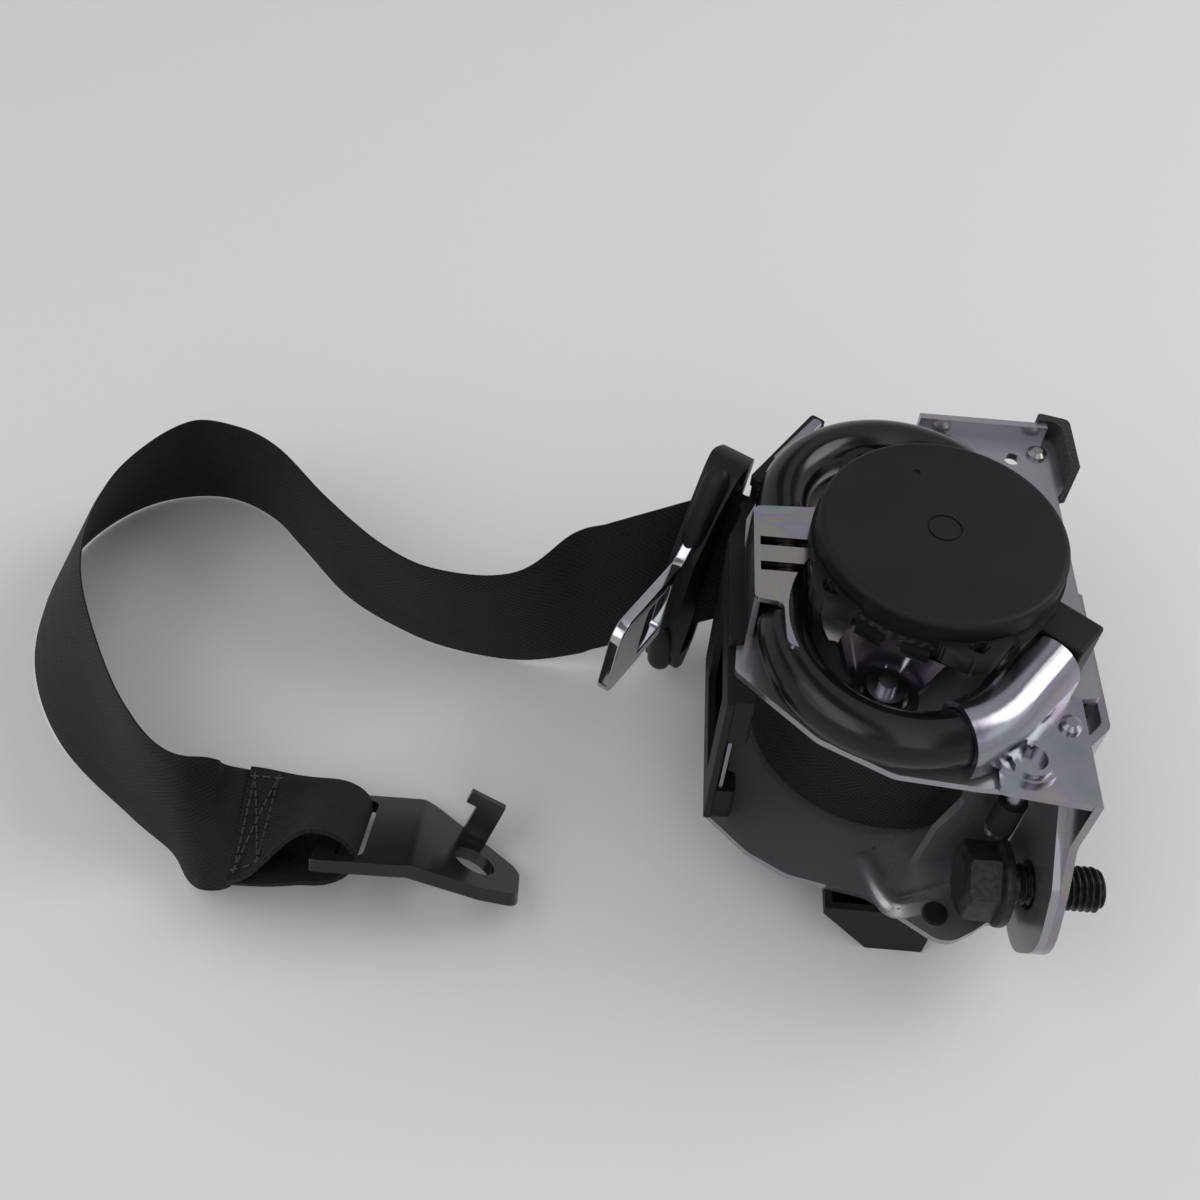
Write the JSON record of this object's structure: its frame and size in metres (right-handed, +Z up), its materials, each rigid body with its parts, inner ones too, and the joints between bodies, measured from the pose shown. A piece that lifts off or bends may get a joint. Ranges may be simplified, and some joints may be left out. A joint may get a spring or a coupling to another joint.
{
  "type": "seat belt retractor",
  "caption": "Automotive seat belt retractor on its side with pretensioner tube, spring cap, webbing, tongue, anchor plate and mounting bolt",
  "frame": {"origin": "On the floor, on the spool axis, in the middle of the mechanism cover's flat bottom", "axes": "+Z up along the spool axis from the mechanism cover to the spring cap; +X along the mounting bolt from its head to its thread end; +Y away from the bolt side"},
  "size_m": [0.2969, 0.1557, 0.1003],
  "materials": {
    "zinc_clear": "clear zinc plate with faint iridescence",
    "zinc_dark": "dull zinc plate",
    "black_plastic": "fine grained moulded black",
    "gloss_black": "gloss black coating on steel tube",
    "black_steel": "black phosphate and oil",
    "chrome_plate": "polished chrome plate",
    "webbing": "woven polyester, ribbed",
    "felt": "black needle felt",
    "white_plastic": "natural acetal",
    "bare_steel": "bare steel, lightly oiled",
    "cast_zinc": "die cast, as cast"
  },
  "bodies": {
    "housing": {"frame": "zinc_dark", "mounting_bracket": "zinc_clear", "spacer_pin": "zinc_clear", "pin_sleeve": "black_plastic", "felt_pad": "felt", "rivets": "bare_steel", "webbing_guide": "black_plastic", "guide_tie": "zinc_clear", "mechanism_cover": "black_plastic", "cover_plug": "black_plastic", "lower_bush": "white_plastic", "upper_bush": "white_plastic", "pretensioner_cover": "zinc_clear", "pretensioner_tube": "gloss_black", "gas_generator": "bare_steel", "squib_connector": "black_plastic", "drive_balls": "bare_steel", "cover_nut": "zinc_clear", "spring_housing": "black_plastic", "spring_cap": "black_plastic", "spiral_spring": "bare_steel", "belt_strap": "webbing"},
    "spool": {"spool": "cast_zinc", "belt_roll": "webbing", "torsion_bar": "bare_steel", "lock_head": "cast_zinc", "drive_pinion": "bare_steel", "spring_arbor": "white_plastic"},
    "clutch": {"clutch_wheel": "white_plastic"},
    "pawl": {"lock_pawl": "bare_steel"},
    "lever": {"sensor_lever": "white_plastic"},
    "sensor_ball": {"sensor_ball": "bare_steel"},
    "washer": {"retaining_washer": "black_steel"},
    "bolt": {"mounting_bolt": "black_steel"},
    "tongue": {"tongue_plate": "chrome_plate", "tongue_cover": "black_plastic"},
    "anchor": {"anchor_plate": "black_steel"}
  },
  "joints": [
    {"name": "spool_spin", "type": "hinge", "parent": "housing", "child": "spool", "pos_m": [0, 0, 0.0475], "axis": [0, 0, 1], "continuous": true},
    {"name": "clutch_lag", "type": "hinge", "parent": "spool", "child": "clutch", "pos_m": [0, 0, 0.012], "axis": [0, 0, 1], "range_deg": [0, 10]},
    {"name": "pawl_swing", "type": "hinge", "parent": "spool", "child": "pawl", "pos_m": [0, -0.0132, 0.0205], "axis": [0, 0, 1], "range_deg": [-14, 0]},
    {"name": "ball_roll", "type": "slide", "parent": "housing", "child": "sensor_ball", "axis": [0, 1, 0], "range_m": [0, 0.0024]},
    {"name": "lever_tip", "type": "hinge", "parent": "housing", "child": "lever", "pos_m": [-0.009, -0.0395, 0.0166], "axis": [0, 0, 1], "range_deg": [0, 9.5]},
    {"name": "bolt_slide", "type": "slide", "parent": "housing", "child": "washer", "axis": [1, 0, 0], "range_m": [0, 0.0056]},
    {"name": "bolt_spin", "type": "hinge", "parent": "washer", "child": "bolt", "pos_m": [0.036, -0.055, 0.035], "axis": [1, 0, 0], "continuous": true},
    {"name": "tongue_slide", "type": "slide", "parent": "housing", "child": "tongue", "axis": [-0.9085, -0.0795, -0.4104], "range_m": [0, 0.014]},
    {"name": "anchor_swivel", "type": "hinge", "parent": "housing", "child": "anchor", "pos_m": [-0.1425, -0.047, 0.0186], "axis": [-0.0487, 0.8078, -0.5874], "range_deg": [-50, 0]}
  ],
  "couplings": [
    {"joint": "pawl_swing", "follows": "clutch_lag", "ratio": -1.4},
    {"joint": "lever_tip", "follows": "ball_roll", "rad_per_m": 66.667}
  ]
}
